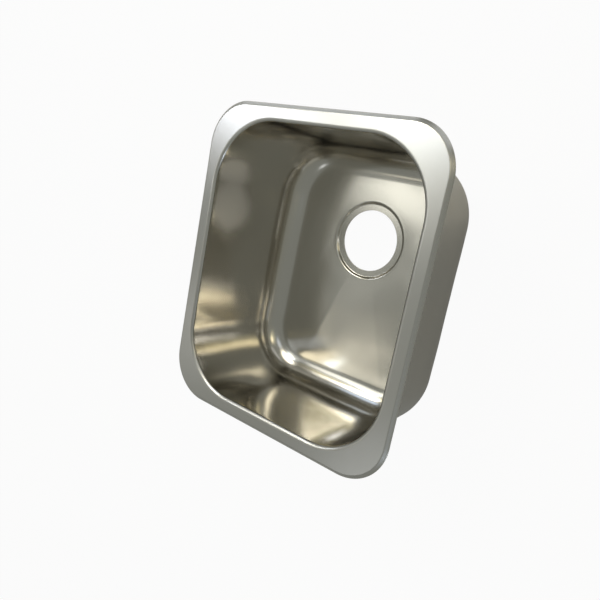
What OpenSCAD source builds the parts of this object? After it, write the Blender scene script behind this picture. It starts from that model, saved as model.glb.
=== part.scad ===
// Undermount kitchen sink: a bowl deep-drawn from one sheet of stainless steel, and the sound pads
// glued to its hidden faces. The origin is the centre of the rim's top face, where the underside of the
// worktop lies. +X is right, +Y is towards the drain end, +Z is up. Sizes are in millimetres.

/* [Rim] */
// Width of the rim over its turned-down edge, left to right
rim_w = 366; // [320:1:600]
// Length of the rim over its turned-down edge, front to rear
rim_l = 426; // [380:1:700]
// Corner radius of the rim's outline
rim_r = 60.5; // [40:0.5:75]
// Width of the flange, from the rim's outline to the lip of the opening
flange_w = 18; // [14:0.5:28]
// Distance in from the outline at which the edge turns down
edge_run = 5; // [3:0.5:8]
// Distance that the edge turns down
edge_drop = 4; // [2:0.5:8]
// Outer radius of the fold where the edge turns down
fold_r = 2; // [1.6:0.1:3]

/* [Bowl] */
// Thickness of the pressed sheet
sheet_t = 1.2; // [0.8:0.1:1.5]
// Depth from the rim's top face to the flat land round the drain
bowl_depth = 175; // [130:1:230]
// Corner radius of the opening, at the lip
opening_r = 93; // [75:1:115]
// Radius of the lip, where the flange bends into the wall
lip_r = 5; // [3:0.5:8]
// Lean of the walls from upright, in degrees
wall_draft = 2; // [0.5:0.1:4]
// Radius of the bend between the walls and the floor
bottom_r = 38; // [20:1:45]
// Fall of the floor from the foot of the walls to the land round the drain
floor_fall = 3; // [1:0.5:8]
// Width of the level strip between the bend and the sloping floor
foot_w = 1; // [0.5:0.5:6]

/* [Drain] */
// Distance of the drain's centre behind the middle of the bowl
drain_y = 57.5; // [-60:0.5:75]
// Radius of the drain hole, which takes a strainer of three and a half inches
hole_r = 45; // [40:0.5:46]
// Radius of the recess that takes the strainer's flange, where it leaves the land
recess_r = 58.5; // [56:0.5:62]
// Depth of the strainer's seat below the land
recess_drop = 3; // [2.5:0.1:6]
// Slope of the step between the land and the seat, in degrees
recess_slope = 60; // [45:1:70]
// Inner radius of the two bends in that step
step_r = 1; // [0.6:0.1:1.2]
// Width of the flat land between the recess and the sloping floor
land_w = 2; // [1:0.5:6]

/* [Sound pads] */
// Thickness of the pads
pad_t = 2.5; // [1.5:0.1:4]
// Thickness of the glue between a pad and the sheet
glue_t = 0.3; // [0.2:0.1:0.6]
// Corner radius of the pads, where they don't follow a corner of the floor
pad_r = 10; // [4:1:16]
// Bare strip between the base pad and the foot of the walls
base_margin = 8; // [4:1:20]
// Bare strip between the base pad and the drain recess
notch_margin = 8; // [5:1:20]
// Bare strip between a wall pad and the rounded corners of the bowl
side_margin = 7; // [3:1:20]
// Bare strip above and below a wall pad
end_margin = 26; // [10:1:30]

/* [Hidden] */
$fn = 96;
// Overrun of each cut past the face that it opens, and of each solid into the one that it joins
over = 2;

// Steps along the arcs of the sections, and along a corner of a plan
bend_steps = 14;
lip_steps = 6;
fold_steps = 3;
step_steps = 4;
corner_steps = 12;

// Half sizes of the rim and of its opening
rim_half = [rim_w / 2, rim_l / 2];
open_half = rim_half - [flange_w, flange_w];

// Heights of the floor at the foot of the walls, the land and the strainer's seat
land_z = -bowl_depth;
floor_z = land_z + floor_fall;
seat_z = land_z - recess_drop;

// Wall section, with x measured outwards from the axis of a corner of the opening. A skin of 0 gives the
// face that is seen from above, and a skin of one sheet gives the back of the sheet.
lip_c = [opening_r, -lip_r];
wall_in = [-cos(wall_draft), sin(wall_draft)];
wall_top = lip_c + lip_r * wall_in;
wall_run = (wall_top.y - floor_z) * tan(wall_draft);
bend_r = min(bottom_r, wall_top.x - wall_run - pad_r);
bend_top_z = floor_z + bend_r * (1 - sin(wall_draft));
bend_top = [wall_top.x - (wall_top.y - bend_top_z) * tan(wall_draft), bend_top_z];
bend_c = bend_top + bend_r * wall_in;

// Outline of the floor at the foot of the bend
floor_r = bend_c.x;
floor_half = open_half - [opening_r - floor_r, opening_r - floor_r];

// Turned-down edge of the rim
edge_slope = atan(edge_drop / edge_run);
fold_c = [rim_r - edge_run - fold_r * tan(edge_slope / 2), -fold_r];

// Step from the land down to the strainer's seat, with x measured from the drain's axis
step_top_r = step_r + sheet_t;
step_len = (recess_drop - (step_top_r + step_r) * (1 - cos(recess_slope))) / sin(recess_slope);
step_top_c = [recess_r, land_z - step_top_r];
seat_r = recess_r - (step_top_r + step_r) * sin(recess_slope) - step_len * cos(recess_slope);
step_foot_c = [seat_r, seat_z + step_r];

// Points of an arc round c, from one angle to another
function arc(c, r, from, to, steps) =
    [for (s = [0:steps]) let (a = from + (to - from) * s / steps) c + r * [cos(a), sin(a)]];

// Points of a rounded rectangle of the given half sizes
function rounded(half, r) = concat(
    arc([half.x - r, half.y - r], r, 0, 90, corner_steps),
    arc([r - half.x, half.y - r], r, 90, 180, corner_steps),
    arc([r - half.x, r - half.y], r, 180, 270, corner_steps),
    arc([half.x - r, r - half.y], r, 270, 360, corner_steps)
);

// Section of the bowl as a filled shape, up to the height top
module bowl_section(skin, top) {
    polygon(concat(
        [[0, floor_z - skin]],
        arc(bend_c, bend_r + skin, -90, -wall_draft, bend_steps),
        arc(lip_c, lip_r - skin, 180 - wall_draft, 90, lip_steps),
        [[lip_c.x, top], [0, top]]
    ));
}

// Section of the rim as a filled shape, down to the height low
module rim_section(skin, low) {
    slope_top = fold_c + (fold_r - skin) * [sin(edge_slope), cos(edge_slope)];
    slope_run = (slope_top.y - low) / tan(edge_slope);
    polygon(concat(
        [[0, low], [slope_top.x + slope_run, low]],
        arc(fold_c, fold_r - skin, 90 - edge_slope, 90, fold_steps),
        [[0, -skin]]
    ));
}

// Solid with a rounded rectangle for its plan. The section given as its child is carried straight along
// the four sides and turned round the four corners, about a plain core.
module tray(half, corner_r, low, top) {
    core = half - [corner_r, corner_r];
    translate([-core.x, -core.y, low])
        cube([2 * core.x, 2 * core.y, top - low]);
    for (k = [0:3]) {
        side = k % 2 == 0 ? core : [core.y, core.x];
        rotate([0, 0, 90 * k]) {
            translate([side.x, 0, 0])
                rotate([90, 0, 0])
                    linear_extrude(2 * side.y, center = true)
                        children();
            translate([side.x, side.y, 0])
                rotate_extrude(angle = 90)
                    children();
        }
    }
}

// Shallow funnel from the foot of the bend to the land, which leaves soft creases to the corners
module floor_funnel(skin) {
    hull() {
        translate([0, 0, floor_z - skin])
            linear_extrude(over)
                polygon(rounded(floor_half - [foot_w, foot_w], floor_r - foot_w));
        translate([0, drain_y, land_z - skin])
            cylinder(h = over, r = recess_r + land_w);
    }
}

// Recess for the strainer's flange as a filled shape, up to just above the land
module drain_recess(skin) {
    top = land_z - skin + over;
    translate([0, drain_y, 0])
        rotate_extrude()
            polygon(concat(
                [[0, top], [0, seat_z - skin]],
                arc(step_foot_c, step_r + skin, -90, recess_slope - 90, step_steps),
                arc(step_top_c, step_top_r - skin, 90 + recess_slope, 90, step_steps),
                [[recess_r, top]]
            ));
}

// Flat flange with its turned-down edge, and no opening yet
module rim_sheet() {
    under = -edge_drop - over;
    difference() {
        tray(rim_half, rim_r, -edge_drop, 0)
            rim_section(0, -edge_drop);
        tray(rim_half, rim_r, under, -sheet_t)
            rim_section(sheet_t, under);
    }
}

// Everything inside one face of the pressed bowl, up to the height top
module bowl_fill(skin, top) {
    tray(open_half, opening_r, floor_z - skin, top)
        bowl_section(skin, top);
    floor_funnel(skin);
    drain_recess(skin);
}

module bowl() {
    color("silver")
        difference() {
            union() {
                rim_sheet();
                bowl_fill(sheet_t, -sheet_t / 2);
            }
            bowl_fill(0, over);
            translate([0, drain_y, seat_z - sheet_t - over])
                cylinder(h = sheet_t + 2 * over, r = hole_r);
        }
}

// Plan of the base pad: it fills the floor in front of the drain's axis and clears the recess
module base_pad_plan() {
    half = floor_half - [base_margin, base_margin];
    front_r = floor_r - base_margin;
    notch_r = recess_r + notch_margin;
    polygon(concat(
        arc([front_r - half.x, front_r - half.y], front_r, 180, 270, corner_steps),
        arc([half.x - front_r, front_r - half.y], front_r, 270, 360, corner_steps),
        arc([half.x - pad_r, drain_y - pad_r], pad_r, 0, 90, corner_steps),
        arc([0, drain_y], notch_r, 0, -180, 2 * corner_steps),
        arc([pad_r - half.x, drain_y - pad_r], pad_r, 90, 180, corner_steps)
    ));
}

module base_pad() {
    low = land_z - sheet_t - glue_t - pad_t - over;
    color("dimgray")
        intersection() {
            translate([0, 0, low])
                linear_extrude(floor_z - low)
                    base_pad_plan();
            difference() {
                translate([0, 0, -glue_t - pad_t])
                    floor_funnel(sheet_t);
                translate([0, 0, -glue_t])
                    floor_funnel(sheet_t);
            }
        }
}

// Pad glued flat to the back of the rear wall, midway down its straight part
module wall_pad() {
    foot = wall_top - (sheet_t + glue_t) * wall_in;
    wall_len = (wall_top.y - bend_top.y) / cos(wall_draft);
    half = [open_half.x - opening_r - side_margin, wall_len / 2 - end_margin];
    color("dimgray")
        translate([0, open_half.y - opening_r + foot.x, foot.y])
            rotate([-wall_draft, 0, 0])
                translate([0, pad_t, -wall_len / 2])
                    rotate([90, 0, 0])
                        linear_extrude(pad_t)
                            polygon(rounded(half, pad_r));
}

module rear_wall_pad() {
    wall_pad();
}

module front_wall_pad() {
    mirror([0, 1, 0])
        wall_pad();
}

bowl();
base_pad();
front_wall_pad();
rear_wall_pad();
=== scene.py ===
import bpy
import numpy as np
from mathutils import Matrix, Quaternion, Vector


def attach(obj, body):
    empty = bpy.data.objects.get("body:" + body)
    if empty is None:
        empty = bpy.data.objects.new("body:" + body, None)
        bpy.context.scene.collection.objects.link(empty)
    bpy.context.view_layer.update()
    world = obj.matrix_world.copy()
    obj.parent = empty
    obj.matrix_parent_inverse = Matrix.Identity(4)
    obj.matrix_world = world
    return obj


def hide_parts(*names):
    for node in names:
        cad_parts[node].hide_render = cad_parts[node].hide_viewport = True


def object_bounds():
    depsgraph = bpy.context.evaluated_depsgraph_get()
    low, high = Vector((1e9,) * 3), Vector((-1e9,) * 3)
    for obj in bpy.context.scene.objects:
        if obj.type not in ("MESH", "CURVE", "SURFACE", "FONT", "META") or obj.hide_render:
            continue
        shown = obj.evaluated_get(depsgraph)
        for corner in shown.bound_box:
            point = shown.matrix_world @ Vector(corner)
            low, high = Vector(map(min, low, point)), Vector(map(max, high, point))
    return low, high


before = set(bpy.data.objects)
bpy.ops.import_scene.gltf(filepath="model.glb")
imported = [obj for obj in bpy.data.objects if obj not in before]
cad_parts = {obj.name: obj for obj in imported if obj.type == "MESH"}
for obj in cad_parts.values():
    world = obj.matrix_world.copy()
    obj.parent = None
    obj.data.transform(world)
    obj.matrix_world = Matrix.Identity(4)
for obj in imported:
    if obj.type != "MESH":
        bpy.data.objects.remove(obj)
cad_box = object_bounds()

# Camera: the sink is seen from above its front right, turned so that its drain end leans to the upper
# right of the picture. Lens and sensor are in millimetres.
CAMERA_PLACE = (0.4244, 0.1220, 0.5631)
CAMERA_RIGHT = (0.77622, 0.18783, -0.60183)
CAMERA_UP = (-0.27047, 0.96149, -0.04876)
CAMERA_LENS = 33.85
CAMERA_SENSOR = 36.0

camera_data = bpy.data.cameras.new("camera")
camera_data.lens = CAMERA_LENS
camera_data.sensor_width = CAMERA_SENSOR
camera = bpy.data.objects.new("camera", camera_data)
camera_back = np.cross(CAMERA_RIGHT, CAMERA_UP)
camera.matrix_world = Matrix.LocRotScale(
    CAMERA_PLACE, Matrix((CAMERA_RIGHT, CAMERA_UP, camera_back)).transposed(), None
)
bpy.context.scene.collection.objects.link(camera)
bpy.context.scene.camera = camera

# Bowl: one sheet of 18 gauge stainless steel, drawn between dies into a deep box with round corners. The
# floor falls to a stepped recess for the strainer, the drain hole is punched out, and the trimmed edge of
# the flange is turned down. The sheet keeps the faint waves and folds that drawing and polishing leave.
MM = 0.001
RIM_CORE = np.array([122.5, 152.5]) * MM
RIM_R = 60.5 * MM
EDGE_RUN = 5.0 * MM
EDGE_DROP = 4.0 * MM
EDGE_FOLD_R = 2.0 * MM
SHEET = 1.2 * MM
BOWL_CORE = np.array([72.0, 102.0]) * MM
OPENING_R = 93.0 * MM
LIP_R = 5.0 * MM
WALL_DRAFT = np.radians(2.0)
BOTTOM_R = 38.0 * MM
FOOT_ANGLE = np.radians(3.0)
DRAIN_Y = 57.5 * MM
HOLE_R = 45.0 * MM
RECESS_R = 58.5 * MM
RECESS_SLOPE = np.radians(45.0)
STEP_R = 1.5 * MM
LAND = 2.0 * MM
FLOOR_Z = -172.0 * MM
LAND_Z = -175.0 * MM
SEAT_Z = -178.0 * MM
BURR = 0.2 * MM

# Worked out from those: how far down the straight part of the walls reaches, and how far beyond the core
# the bottom bend is centred and the floor ends
WALL_DEPTH = -FLOOR_Z - (LIP_R + BOTTOM_R) * (1 - np.sin(WALL_DRAFT))
FLOOR_R = OPENING_R - (LIP_R + BOTTOM_R) * np.cos(WALL_DRAFT) - WALL_DEPTH * np.tan(WALL_DRAFT)
FOOT_R = FLOOR_R + BOTTOM_R * np.sin(FOOT_ANGLE)

# Columns and rings of the mesh. A ring stands EDGE_GAP away from a sharp bend and FLAT_GAP from the seat's
# edges, so that the flats beside them shade flat.
CORNER_COLUMNS = 34
SIDE_COLUMNS = 30
FLOOR_STEPS = 26
BEND_STEPS = 26
WALL_STEPS = 27
LIP_STEPS = 12
FLANGE_STEPS = 6
ROUND_STEPS = 6
EDGE_GAP = 0.5 * MM
FLAT_GAP = 3.0 * MM
DOWN_SHARES = np.array([0.1, 0.5, 0.9, 1.0])
END_FAN = np.radians(19.3)
SIDE_FAN = np.radians(6.0)


def outline_columns():
    """Columns round a rounded rectangle, anticlockwise from where the right side meets the rear right
    corner: each is a share of the core rectangle's half sizes and the angle of the outward normal, with
    the angle at which the column meets the drain. Corners turn the normal by 90 degrees. Sides slide along
    the core, and fan over an angle at the drain, as the flat facets of the floor do."""
    signs = np.array([[1, 1], [-1, 1], [-1, -1], [1, -1]], float)
    shares, normals, drain_angles = [], [], []
    for corner in range(4):
        quarter = np.pi / 2 * corner
        turn = np.linspace(0, 1, CORNER_COLUMNS + 1)
        slide = np.linspace(0, 1, SIDE_COLUMNS + 1)[1:-1, None]
        after = signs[(corner + 1) % 4]
        fan_here, fan_after = (SIDE_FAN, END_FAN) if corner % 2 == 0 else (END_FAN, SIDE_FAN)
        here = signs[corner]
        shares += [np.repeat(here[None], len(turn), 0), here * (1 - slide) + after * slide]
        normals += [quarter + turn * np.pi / 2, np.full(len(slide), quarter + np.pi / 2)]
        drain_angles += [
            quarter + fan_here + turn * (np.pi / 2 - fan_here - fan_after),
            quarter + np.pi / 2 - fan_after + slide[:, 0] * 2 * fan_after,
        ]
    return np.concatenate(shares), np.concatenate(normals), np.concatenate(drain_angles)


SHARES, NORMALS, DRAIN_ANGLES = outline_columns()


def outline_ring(core, reach, z):
    """Ring of points at height z: each is its share of the core, moved out by reach along its normal."""
    plan = SHARES * core + reach * np.stack([np.cos(NORMALS), np.sin(NORMALS)], -1)
    return np.column_stack([plan, np.full(len(plan), z)])


def drain_ring(radius, z):
    """Ring of points at height z on a circle about the drain's axis."""
    plan = radius * np.stack([np.cos(DRAIN_ANGLES), np.sin(DRAIN_ANGLES)], -1)
    return np.column_stack([plan + [0, DRAIN_Y], np.full(len(plan), z)])


def arc(centre, radius, start, end, steps):
    """Points of an arc in a section: the centre plus radius times the cosine and sine of each angle."""
    angles = np.linspace(np.radians(start), np.radians(end), steps + 1)
    return np.array(centre) + radius * np.stack([np.cos(angles), np.sin(angles)], -1)


def skin_rings(skin):
    """Rings of one face of the sheet, from the drain hole out to the rim's trimmed edge. A skin of 0 is
    the face seen from above, and a skin of one sheet is the back: arcs share their centres, flats are one
    sheet lower. Each section is carried round the drain circle or the rounded rectangle of its rings."""
    draft = np.degrees(WALL_DRAFT)
    slope = np.degrees(RECESS_SLOPE)
    step_top_r = STEP_R + SHEET
    drop = LAND_Z - SEAT_Z - (step_top_r + STEP_R) * (1 - np.cos(RECESS_SLOPE))
    seat_r = RECESS_R - (step_top_r + STEP_R) * np.sin(RECESS_SLOPE) - drop / np.tan(RECESS_SLOPE)
    seat = (HOLE_R + BURR, HOLE_R + 2 * BURR, HOLE_R + FLAT_GAP, seat_r - FLAT_GAP, seat_r - EDGE_GAP)
    step = np.concatenate([
        [[radius, SEAT_Z - skin] for radius in seat],
        arc([seat_r, SEAT_Z + STEP_R], STEP_R + skin, -90, slope - 90, ROUND_STEPS),
        arc([RECESS_R, LAND_Z - step_top_r], step_top_r - skin, 90 + slope, 90, ROUND_STEPS),
        [[RECESS_R + EDGE_GAP, LAND_Z - skin], [RECESS_R + LAND - EDGE_GAP, LAND_Z - skin]],
    ])
    rings = [drain_ring(radius, z) for radius, z in step]

    lip_centre = np.array([OPENING_R, -LIP_R])
    wall_in = np.array([-np.cos(WALL_DRAFT), np.sin(WALL_DRAFT)])
    wall_top = lip_centre + LIP_R * wall_in
    bend_top = wall_top - WALL_DEPTH * np.array([np.tan(WALL_DRAFT), 1])
    bend_centre = bend_top + BOTTOM_R * wall_in

    bend = arc(bend_centre, BOTTOM_R + skin, np.degrees(FOOT_ANGLE) - 90, -draft, BEND_STEPS)
    land = drain_ring(RECESS_R + LAND, LAND_Z - skin)
    foot = outline_ring(BOWL_CORE, *bend[0])
    rings += [land + (foot - land) * share for share in np.linspace(0, 1, FLOOR_STEPS + 1)[:-1]]

    lip = arc(lip_centre, LIP_R - skin, 180 - draft, 90, LIP_STEPS)
    wall = bend[-1] + (lip[0] - bend[-1]) * np.linspace(0, 1, WALL_STEPS + 1)[1:-1, None]
    rings += [outline_ring(BOWL_CORE, reach, z) for reach, z in np.concatenate([bend, wall, lip])]

    edge_slope = np.arctan(EDGE_DROP / EDGE_RUN)
    fold_centre = [RIM_R - EDGE_RUN - EDGE_FOLD_R * np.tan(edge_slope / 2), -EDGE_FOLD_R]
    inner = outline_ring(BOWL_CORE, OPENING_R + EDGE_GAP, -skin)
    outer = outline_ring(RIM_CORE, fold_centre[0] - EDGE_GAP, -skin)
    rings += [inner + (outer - inner) * share for share in np.linspace(0, 1, FLANGE_STEPS + 1)]
    fold = arc(fold_centre, EDGE_FOLD_R - skin, 90, 90 - np.degrees(edge_slope), ROUND_STEPS)
    low = [fold[-1][0] + (fold[-1][1] + EDGE_DROP) / np.tan(edge_slope), -EDGE_DROP]
    down = fold[-1] + (low - fold[-1]) * DOWN_SHARES[:, None]
    down[-1] = down[-1] + BURR * np.array([-np.cos(edge_slope), np.sin(edge_slope)])
    rings += [outline_ring(RIM_CORE, reach, z) for reach, z in np.concatenate([fold, down])]
    return np.array(rings)


WAVE_LENGTHS = (150.0 * MM, 110.0 * MM, 84.0 * MM, 63.0 * MM, 47.0 * MM)
WAVE_SLOPE = 0.1 / 110.0
WAVE_SEED = 7
RIM_CALM = 6.0 * MM
WAVE_FADE = 40.0 * MM


def sheet_waves(points):
    """Height of the faint waves that a drawn sheet keeps: a sum of slow sines of the place, each with its
    own direction, length and phase, and as high as WAVE_SLOPE times its length."""
    draws = np.random.default_rng(WAVE_SEED)
    total = np.zeros(points.shape[:-1])
    for length in WAVE_LENGTHS:
        direction = draws.normal(size=3)
        direction /= np.linalg.norm(direction)
        phase = draws.uniform(0, 2 * np.pi)
        total += WAVE_SLOPE * length * np.sin(points @ direction * 2 * np.pi / length + phase)
    return total


REAR_DIP = 2.7 * MM
DIP_START = 20.0 * MM
DIP_RUN = 100.0 * MM
BLEND_WIDTH = 12.0 * MM
BLEND_SHARE = 0.046


def rear_dip(y):
    """Depth by which the foot of the walls lies lower towards the rear: a smooth step in y, from 0 at
    DIP_START up to REAR_DIP after DIP_RUN."""
    share = np.clip((y - DIP_START) / DIP_RUN, 0, 1)
    return REAR_DIP * share * share * (3 - 2 * share)


def foot_drop(points):
    """Depth by which the dip lowers points of the bowl's face. Its share grows evenly with height from
    the drain's land to the foot of the walls, and falls again to nothing at the top of the bend. A small
    rise across the foot, as the square of the nearness to it, blends the flatter floor into the bend."""
    rise = points[..., 2] - LAND_Z
    past_foot = points[..., 2] - FLOOR_Z
    share = np.clip(rise / (FLOOR_Z - LAND_Z), 0, 1) * np.clip(1 - past_foot / BOTTOM_R, 0, 1)
    beyond = np.maximum(np.abs(points[..., :2]) - BOWL_CORE, 0)
    from_foot = np.abs(np.hypot(beyond[..., 0], beyond[..., 1]) - FOOT_R)
    blend = np.clip(1 - from_foot / BLEND_WIDTH, 0, 1) ** 2
    return rear_dip(points[..., 1]) * (share - BLEND_SHARE * blend)


FOLD_WIDTH = 30.0 * MM
FOLD_REACH = 60.0 * MM
FOLD_LEFT = 0.42 * MM
FOLD_RIGHT = 0.12 * MM
FOLD_SHARES = (-0.02, 0.10, 0.93, 1.03)


def floor_folds(plan):
    """Height of the two folds that the press leaves in the floor, at points of the plan. Each runs from
    the front of the drain's land to the end of the straight front side, where a corner starts. Towards
    the fold the floor rises as the square of the share of FOLD_WIDTH, and beyond it the rise fades as the
    square of what is left of FOLD_REACH. Along the fold it comes in between the first two FOLD_SHARES and
    goes out between the last two. The left fold is the higher one."""
    start = np.array([np.sin(END_FAN), -np.cos(END_FAN)]) * (RECESS_R + LAND) + [0, DRAIN_Y]
    finish = np.array([BOWL_CORE[0], -BOWL_CORE[1] - FLOOR_R])
    length = np.linalg.norm(finish - start)
    along = (finish - start) / length
    away = np.stack([np.abs(plan[..., 0]), plan[..., 1]], -1) - start
    share = away @ along / length
    outside = away @ np.array([-along[1], along[0]])
    rise = 1 - np.where(outside < 0, -outside / FOLD_WIDTH, outside / FOLD_REACH)
    ends = np.interp(share, FOLD_SHARES, (0, 1, 1, 0))
    return np.where(plan[..., 0] < 0, FOLD_LEFT, FOLD_RIGHT) * np.clip(rise, 0, 1) ** 2 * ends


FLOOR_BAND = 1.0 * MM


def bowl_grid():
    """The closed sheet as a grid of rings: its upper face out from the drain hole to the rim's edge, then
    its back to the hole again. The walls and floor are moved along the face's normal by the waves, which
    fade out towards the flange and the drain recess so that those stay flat. The floor rises by its
    folds, and the foot of the walls drops at the rear."""
    top = skin_rings(0.0)
    back = skin_rings(SHEET)
    along = np.gradient(top, axis=0)
    round_ = np.roll(top, -1, 1) - np.roll(top, 1, 1)
    normal = np.cross(along, round_)
    normal /= np.linalg.norm(normal, axis=-1, keepdims=True)
    fade_rim = np.clip((-top[..., 2] - RIM_CALM) / WAVE_FADE, 0, 1)
    from_drain = np.hypot(top[..., 0], top[..., 1] - DRAIN_Y) - RECESS_R - LAND
    on_floor = top[..., 2] < FLOOR_Z + FLOOR_BAND
    fade_drain = np.where(on_floor, np.clip(from_drain / WAVE_FADE, 0, 1), 1)
    relief = (sheet_waves(top) * fade_rim * fade_drain)[..., None] * normal
    relief[..., 2] += np.where(on_floor & (from_drain > 0), floor_folds(top[..., :2]), 0)
    relief[..., 2] -= foot_drop(top)
    return np.concatenate([top + relief, (back + relief)[::-1]])


def grid_object(name, grid, wrap_rows=True):
    """Object whose mesh joins each point of a grid to the next in its row, which closes on itself, and to
    the row after. The rows close on themselves too, or each end is capped with one flat face."""
    rows, columns = grid.shape[:2]
    row = np.arange(rows if wrap_rows else rows - 1)[:, None]
    column = np.arange(columns)[None]
    after_row = (row + 1) % rows
    after_column = (column + 1) % columns
    quads = np.stack([
        row * columns + column, after_row * columns + column,
        after_row * columns + after_column, row * columns + after_column,
    ], -1).reshape(-1, 4).tolist()
    if not wrap_rows:
        first = list(range(columns))
        quads += [first, [(rows - 1) * columns + i for i in reversed(first)]]
    mesh = bpy.data.meshes.new(name)
    mesh.from_pydata(grid.reshape(-1, 3).tolist(), [], quads)
    mesh.shade_smooth()
    made = bpy.data.objects.new(name, mesh)
    bpy.context.scene.collection.objects.link(made)
    return made


bowl = grid_object("drawn_bowl", bowl_grid())


class Wire:
    """Output socket of a shader node. Arithmetic on it adds Math nodes to its material, and node() adds
    any other node there."""

    def __init__(self, socket):
        self.socket = socket

    def node(self, kind, settings, sockets, output=0):
        """Adds a node: its settings are set first, and then each named socket gets a value or a wire."""
        tree = self.socket.id_data
        made = tree.nodes.new("ShaderNode" + kind)
        for name, value in settings.items():
            setattr(made, name, value)
        for key, value in sockets.items():
            if isinstance(value, Wire):
                tree.links.new(value.socket, made.inputs[key])
            else:
                made.inputs[key].default_value = value
        return Wire(made.outputs[output])

    def math(self, operation, first, second):
        """Adds a Math node that joins two numbers or wires."""
        return self.node("Math", {"operation": operation}, {0: first, 1: second})

    def colours(self, first, second):
        """Colour that goes from the first to the second as this wire goes from 0 to 1."""
        return self.node("Mix", {"data_type": "RGBA"}, {0: self, 6: first, 7: second}, output=2)

    def __add__(self, other):
        return self.math("ADD", self, other)

    def __radd__(self, other):
        return self.math("ADD", other, self)

    def __sub__(self, other):
        return self.math("SUBTRACT", self, other)

    def __rsub__(self, other):
        return self.math("SUBTRACT", other, self)

    def __mul__(self, other):
        return self.math("MULTIPLY", self, other)

    def __rmul__(self, other):
        return self.math("MULTIPLY", other, self)


def new_finish(name, **constants):
    """Material whose shader has the given constants. Returns it with its shader node, and wires of the
    place on the object and of the face's direction."""
    material = bpy.data.materials.new(name)
    material.use_nodes = True
    nodes = material.node_tree.nodes
    shader = nodes["Principled BSDF"]
    for socket, value in constants.items():
        shader.inputs[socket.replace("_", " ")].default_value = value
    place = nodes.new("ShaderNodeTexCoord").outputs["Object"]
    facing = nodes.new("ShaderNodeNewGeometry").outputs["Normal"]
    return material, shader, Wire(place), Wire(facing)


def plug(finish, socket, wire):
    """Joins a wire to one of the shader's sockets."""
    finish.id_data.links.new(wire.socket, finish.inputs[socket])


def ramp(wire, low, high):
    """Smooth step from 0 at low to 1 at high."""
    return wire.node("MapRange", {"interpolation_type": "SMOOTHSTEP"}, {"Value": wire, 1: low, 2: high})


def stretched_noise(place, per_metre, detail):
    """Noise from 0 to 1 with its own number of grains a metre along each axis."""
    scaled = place.node("VectorMath", {"operation": "MULTIPLY"}, {0: place, 1: per_metre})
    return scaled.node("TexNoise", {}, {"Vector": scaled, "Scale": 1.0, "Detail": detail, "Roughness": 0.6})


# Satin finish of the steel: fine brush lines run front to rear on the flange and floor, and level round the
# walls. The walls are smoother and a little warmer than the floor, and the flange is the dullest. Wiping
# leaves slow changes of gloss.
FLANGE_COLOUR = (0.60, 0.60, 0.59, 1)
FLOOR_COLOUR = (0.60, 0.59, 0.56, 1)
WALL_COLOUR = (0.61, 0.58, 0.515, 1)
DULL_COLOUR = (0.56, 0.55, 0.52, 1)
FLANGE_ROUGHNESS = 0.30
FLOOR_ROUGHNESS = 0.19
WALL_ROUGHNESS = 0.155
GRAIN_ROUGHNESS = 0.05
CLOUD_ROUGHNESS = 0.05
FLAT_LEVELS = (0.55, 0.85)
BENT_LEVELS = (0.06, 0.4)
FLANGE_HEIGHTS = (-5.0 * MM, -1.0 * MM)
ACROSS_LINES = 2400
ALONG_LINES = 45
CLOUDS = 14
CLOUD_SHARE = 0.6
GROOVE = 0.05 * MM
GROOVE_STRENGTH = 0.06

steel, steel_shader, place, facing = new_finish("satin_steel", Metallic=1.0)
height = place.node("SeparateXYZ", {}, {0: place}, output=2)
level = facing.node("SeparateXYZ", {}, {0: facing}, output=2)
flat = ramp(level.math("ABSOLUTE", level, 0.0), *FLAT_LEVELS)
bent = ramp(level.math("ABSOLUTE", level, 0.0), *BENT_LEVELS)
flange = ramp(height, *FLANGE_HEIGHTS)
flat_lines = stretched_noise(place, (ACROSS_LINES, ALONG_LINES, ACROSS_LINES), 3.0)
wall_lines = stretched_noise(place, (ALONG_LINES, ALONG_LINES, ACROSS_LINES), 3.0)
lines = wall_lines + flat * (flat_lines - wall_lines)
clouds = stretched_noise(place, (CLOUDS, CLOUDS, CLOUDS), 4.0)
roughness = WALL_ROUGHNESS + bent * (FLOOR_ROUGHNESS - WALL_ROUGHNESS)
roughness = roughness + flange * (FLANGE_ROUGHNESS - FLOOR_ROUGHNESS)
roughness = roughness + (lines - 0.5) * GRAIN_ROUGHNESS + (clouds - 0.5) * CLOUD_ROUGHNESS
plug(steel_shader, "Roughness", roughness)
clean = flange.colours(flat.colours(WALL_COLOUR, FLOOR_COLOUR), FLANGE_COLOUR)
plug(steel_shader, "Base Color", (clouds * CLOUD_SHARE).colours(clean, DULL_COLOUR))
grooves = lines.node("Bump", {}, {"Strength": GROOVE_STRENGTH, "Distance": GROOVE, "Height": lines})
plug(steel_shader, "Normal", grooves)
bowl.data.materials.append(steel)
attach(bowl, "root")
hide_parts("bowl")

# Base pad: dense filled rubber, die-cut and stuck under the floor with a thin film of glue, so that
# running water and dishes don't make the steel ring. It fills the floor in front of the drain's axis, and
# a round notch keeps it clear of the strainer's nut.
PAD = 2.5 * MM
GLUE = 0.3 * MM
GLUE_INSET = 0.8 * MM
PAD_EDGE = 0.7 * MM
PAD_R = 10.0 * MM
BASE_MARGIN = 8.0 * MM
NOTCH_R = RECESS_R + 8.0 * MM
CONTACT = 0.05 * MM

# Steps of a pad's mesh, and halvings that find a level of the floor
PAD_EDGE_STEPS = 4
PAD_FACE_STEPS = 21
PAD_CORNER_STEPS = 8
PAD_SIDE_STEPS = 19
PAD_BEND_STEPS = 14
PAD_FRONT_STEPS = 13
HALVINGS = 24


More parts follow.
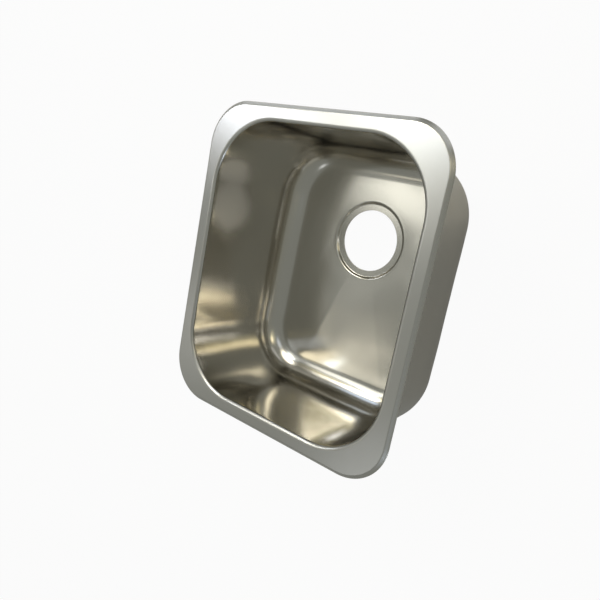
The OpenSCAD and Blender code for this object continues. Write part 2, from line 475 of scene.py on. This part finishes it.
def floor_underside(plan):
    """Height of the floor's back at points of the plan. The floor rises in even steps from the land's
    circle to the outline at the foot of the walls, and each level in between is the rounded rectangle
    that is the same share of the way from one to the other. Halving finds the level that a point is on."""
    low, high = np.zeros(plan.shape[:-1]), np.ones(plan.shape[:-1])
    for _ in range(HALVINGS):
        share = (low + high) / 2
        centre = (1 - share)[..., None] * np.array([0, DRAIN_Y])
        beyond = np.maximum(np.abs(plan - centre) - share[..., None] * BOWL_CORE, 0)
        reach = RECESS_R + LAND + share * (FOOT_R - RECESS_R - LAND)
        inside = np.hypot(beyond[..., 0], beyond[..., 1]) < reach
        low, high = np.where(inside, low, share), np.where(inside, share, high)
    rise = FLOOR_Z - LAND_Z + BOTTOM_R * (1 - np.cos(FOOT_ANGLE)) - rear_dip(plan[..., 1])
    return LAND_Z - SHEET + rise * low


def pad_loop(width):
    """Closed section of a pad: shares across its width, and distances out from the steel. The glue film is
    set in from the pad's sides, and the edges of its free face are round."""
    quarter = np.linspace(0, np.pi / 2, PAD_EDGE_STEPS + 1)
    round_in = PAD_EDGE * (1 - np.cos(quarter))
    round_out = GLUE + PAD - PAD_EDGE * (1 - np.sin(quarter))
    face = PAD_EDGE + (width - 2 * PAD_EDGE) * np.linspace(0, 1, PAD_FACE_STEPS + 1)[1:-1]
    across = np.concatenate([
        [GLUE_INSET, GLUE_INSET, 0], round_in, face, width - round_in[::-1],
        [width, width - GLUE_INSET, width - GLUE_INSET],
    ])
    out = np.concatenate([
        [CONTACT, GLUE, GLUE], round_out, np.full(len(face), GLUE + PAD), round_out[::-1],
        [GLUE, GLUE, CONTACT],
    ])
    return across / width, out


def base_pad_grid():
    """Sections of the base pad, each on a line through the drain's axis, from its left end round the
    front to its right end. The inner end of each is on the notch's circle and the outer end on the pad's
    outline: straight sides, round front corners and small corners at the two ends."""
    half = BOWL_CORE + FLOOR_R - BASE_MARGIN
    front_r = FLOOR_R - BASE_MARGIN
    right = np.concatenate([
        arc([half[0] - PAD_R, DRAIN_Y - PAD_R], PAD_R, 90, 0, PAD_CORNER_STEPS),
        np.linspace([half[0], DRAIN_Y - PAD_R], [half[0], front_r - half[1]], PAD_SIDE_STEPS + 1)[1:-1],
        arc([half[0] - front_r, front_r - half[1]], front_r, 0, -90, PAD_BEND_STEPS),
        np.linspace([half[0] - front_r, -half[1]], [0, -half[1]], PAD_FRONT_STEPS + 1)[1:],
    ])
    outer = np.concatenate([right, (right * [-1, 1])[-2::-1]])
    away = outer - [0, DRAIN_Y]
    distance = np.hypot(*away.T)[:, None]
    inner = [0, DRAIN_Y] + away / distance * NOTCH_R
    across, out = pad_loop(half[0] - PAD_R - NOTCH_R)
    plan = inner[:, None] + (outer - inner)[:, None] * across[:, None]
    waves = sheet_waves(np.dstack([plan, np.full(plan.shape[:2], FLOOR_Z)]))
    top = floor_underside(plan) + floor_folds(plan) + waves
    return np.dstack([plan, top - out])[::-1]


base_pad = grid_object("base_sound_pad", base_pad_grid(), wrap_rows=False)

# Rubber of the pads: matt and nearly black, with a fine pebbled skin from its rollers, pale specks of
# filler and a thin bloom of dust.
RUBBER_COLOUR = (0.018, 0.018, 0.019, 1)
DUST_COLOUR = (0.075, 0.073, 0.070, 1)
RUBBER_ROUGHNESS = 0.66
BLOOM_ROUGHNESS = 0.2
BLOOM_SHARE = 0.7
SPECK_SHARE = 0.6
SPECK_LEVELS = (0.70, 0.74)
PEBBLES = 900
BLOOMS = 30
SPECKS = 1600
PEBBLE = 0.12 * MM
PEBBLE_STRENGTH = 0.5

rubber, rubber_shader, place = new_finish("pad_rubber")[:3]
pebbles = stretched_noise(place, (PEBBLES, PEBBLES, PEBBLES), 2.0)
bloom = stretched_noise(place, (BLOOMS, BLOOMS, BLOOMS), 5.0)
specks = ramp(stretched_noise(place, (SPECKS, SPECKS, SPECKS), 0.0), *SPECK_LEVELS)
dust = bloom * BLOOM_SHARE + specks * SPECK_SHARE
plug(rubber_shader, "Base Color", dust.colours(RUBBER_COLOUR, DUST_COLOUR))
plug(rubber_shader, "Roughness", RUBBER_ROUGHNESS + bloom * BLOOM_ROUGHNESS)
skin = pebbles.node("Bump", {}, {"Strength": PEBBLE_STRENGTH, "Distance": PEBBLE, "Height": pebbles})
plug(rubber_shader, "Normal", skin)
base_pad.data.materials.append(rubber)
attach(base_pad, "root")
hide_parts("base_pad")

# Wall pads: the same rubber, cut to round-cornered strips and stuck midway down the straight part of the
# front and rear walls, on the side that the cabinet hides.
SIDE_MARGIN = 7.0 * MM
END_MARGIN = 26.0 * MM
KEPT_DIGITS = 7


def wall_pad_grid(side):
    """Sections of a wall pad, each upright in the wall's leaning plane, from its left end to its right.
    Towards each end the height follows the corner's arc, and the free face falls away over its round
    edge. Side is -1 for the front wall and 1 for the rear one, where the order of the sections turns."""
    draft = WALL_DRAFT
    top = -LIP_R + LIP_R * np.sin(draft)
    length = WALL_DEPTH / np.cos(draft)
    half = np.array([BOWL_CORE[0] - SIDE_MARGIN, length / 2 - END_MARGIN])
    middle = np.linspace(0, half[0] - PAD_R, PAD_SIDE_STEPS + 1)
    ends = half[0] - PAD_R * (1 - np.sin(np.linspace(0, np.pi / 2, PAD_CORNER_STEPS + 1)))
    edge = half[0] - PAD_EDGE * (1 - np.sin(np.linspace(0, np.pi / 2, PAD_EDGE_STEPS + 1)))
    right = np.unique(np.round(np.concatenate([middle, ends, edge]), KEPT_DIGITS))
    along = np.concatenate([-right[:0:-1], right])
    past_corner = np.clip(np.abs(along) - half[0] + PAD_R, 0, PAD_R)
    past_edge = np.clip(np.abs(along) - half[0] + PAD_EDGE, 0, PAD_EDGE)
    height = half[1] - PAD_R + np.sqrt(PAD_R ** 2 - past_corner ** 2)
    limit = GLUE + PAD - PAD_EDGE + np.sqrt(PAD_EDGE ** 2 - past_edge ** 2)
    across, out = pad_loop(2 * half[1])
    up = (across - 0.5) * 2 * height[:, None]
    away = np.minimum(out, limit[:, None])
    reach = OPENING_R - LIP_R * np.cos(draft) - length / 2 * np.sin(draft) + SHEET / np.cos(draft)
    y = BOWL_CORE[1] + reach + up * np.sin(draft) + away * np.cos(draft)
    z = top - WALL_DEPTH / 2 + up * np.cos(draft) - away * np.sin(draft)
    x = np.repeat(along[:, None], len(across), 1)
    grid = np.dstack([x, side * y, z])
    return grid[::-1] if side > 0 else grid


for name, node, side in (("rear_sound_pad", "rear_wall_pad", 1), ("front_sound_pad", "front_wall_pad", -1)):
    wall_pad = grid_object(name, wall_pad_grid(side), wrap_rows=False)
    wall_pad.data.materials.append(rubber)
    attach(wall_pad, "root")
    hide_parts(node)

# Floor: the plain white board that the sink stands on. It reaches past the picture on every side, and
# shows as the white background and through the drain hole, with a faint shadow of the sink left on it.
# The steel's reflections see it too, at a lower share.
FLOOR_REACH = 6.0
FLOOR_DROP = 0.1 * MM
BOARD_COLOUR = (0.6, 0.6, 0.6, 1)
CAMERA_SHARE = 0.95
GLOSSY_SHARE = 0.05

floor_z = cad_box[0].z - FLOOR_DROP
floor_corners = [
    (x * FLOOR_REACH, y * FLOOR_REACH, floor_z) for x, y in ((-1, -1), (1, -1), (1, 1), (-1, 1))
]
floor_mesh = bpy.data.meshes.new("floor")
floor_mesh.from_pydata(floor_corners, [], [(0, 1, 2, 3)])
floor = bpy.data.objects.new("floor", floor_mesh)
bpy.context.scene.collection.objects.link(floor)

board, board_shader = new_finish("white_board", Base_Color=BOARD_COLOUR, Roughness=1.0)[:2]
board_shader.inputs["Specular IOR Level"].default_value = 0.0
light_path = board.node_tree.nodes.new("ShaderNodeLightPath")
seen = Wire(light_path.outputs["Is Camera Ray"])
mirrored = Wire(light_path.outputs["Is Glossy Ray"])
passed = Wire(light_path.outputs["Is Transmission Ray"])
glow_share = seen * CAMERA_SHARE + (mirrored + passed) * GLOSSY_SHARE
glow = seen.node("Emission", {}, {"Strength": 1.0})
blend = seen.node("MixShader", {}, {0: glow_share, 1: Wire(board_shader.outputs[0]), 2: glow})
board.node_tree.links.new(blend.socket, board.node_tree.nodes["Material Output"].inputs[0])
floor.data.materials.append(board)

# Light: soft lamps stand in an arc over the rear left of the sink, smaller ones to the other sides brighten
# its bends, and the white room fills in the rest. Each row gives where a lamp is seen from the sink, in
# degrees round from +X and up from level, how wide and how long it looks in degrees, how far it is turned,
# how bright its face is, and its colour. Lamps as long as they are wide are round.
LAMP_AIM = np.array([0, 0, -50 * MM])
LAMP_DISTANCE = 1.6
ROOM_LIGHT = 0.29
ROOM_COLOUR = (0.98, 1, 0.9, 1)
WHITE = (1, 1, 1, 1)
LAMPS = (
    ("rear window", 108, 52, 27, 27, 0, 3.35, (1.0, 0.92, 0.72)),
    ("rear key", 124, 43, 16, 16, 0, 5.5, (1.0, 0.96, 0.87)),
    ("rear low", 118, 24, 16, 16, 0, 1.5, (0.6, 0.74, 1.0)),
    ("rear level", 127, 4, 7, 40, 0, 0.9, (0.95, 0.97, 1.0)),
    ("rear left", 140, 44, 16, 16, 0, 0.7, (1.0, 0.86, 0.4)),
    ("rear left high", 137, 61, 8, 8, 0, 10.0, (0.85, 0.92, 1.0)),
    ("left", 160, 43, 10, 10, 0, 7.0, (0.89, 0.92, 1.0)),
    ("left high", 160, 60, 16, 16, 0, 1.9, (1.0, 0.98, 0.88)),
    ("left low", 204, 41, 14, 14, 0, 0.4, (1.0, 0.98, 0.95)),
    ("left strip", 195, 57, 3, 11, -44, 0.5, (1.0, 0.99, 0.91)),
    ("front left", 214, 55, 8, 8, 0, 1.05, (1.0, 0.93, 0.75)),
    ("front", 248, 52, 10, 10, 0, 1.26, (0.95, 0.97, 1.0)),
    ("right high", 64, 68, 16, 16, 0, 0.8, (0.81, 0.88, 1.0)),
    ("right", 30, 48, 20, 20, 0, 0.55, (1.0, 0.91, 0.56)),
    ("right golden", 35, 40, 12, 12, 0, 2.3, (1.0, 0.87, 0.57)),
    ("rear right level", 72, 22, 16, 34, 0, 0.5, (0.95, 0.97, 1.0)),
    ("front right low", 321, 10, 16, 16, 0, 4.8, (0.75, 0.85, 1.0)),
)
for name, azimuth, elevation, width, length, turn, brightness, colour in LAMPS:
    turned = np.radians(azimuth)
    raised = np.radians(elevation)
    level_reach = np.cos(raised)
    towards = np.array([np.cos(turned) * level_reach, np.sin(turned) * level_reach, np.sin(raised)])
    face = 2 * LAMP_DISTANCE * np.tan(np.radians([length / 2, width / 2]))
    lamp_data = bpy.data.lights.new(name, "AREA")
    lamp_data.shape = "DISK" if length == width else "RECTANGLE"
    lamp_data.size, lamp_data.size_y = face
    area = face[0] * face[1] * (np.pi / 4 if length == width else 1)
    lamp_data.energy = brightness * np.pi * area
    lamp_data.color = colour
    lamp = bpy.data.objects.new(name, lamp_data)
    lamp.location = LAMP_AIM + LAMP_DISTANCE * towards
    lamp.rotation_mode = "QUATERNION"
    upright = Vector(towards).to_track_quat("Z", "Y")
    lamp.rotation_quaternion = upright @ Quaternion((0, 0, 1), np.radians(turn))
    bpy.context.scene.collection.objects.link(lamp)

world = bpy.data.worlds.new("white_room")
world.use_nodes = True
world_nodes = world.node_tree.nodes
background = world_nodes["Background"]
room_seen = Wire(world_nodes.new("ShaderNodeLightPath").outputs["Is Camera Ray"])
plug(background, "Color", room_seen.colours(ROOM_COLOUR, WHITE))
plug(background, "Strength", ROOM_LIGHT + room_seen * (1 - ROOM_LIGHT))
bpy.context.scene.world = world
bpy.context.scene.view_settings.view_transform = "Standard"
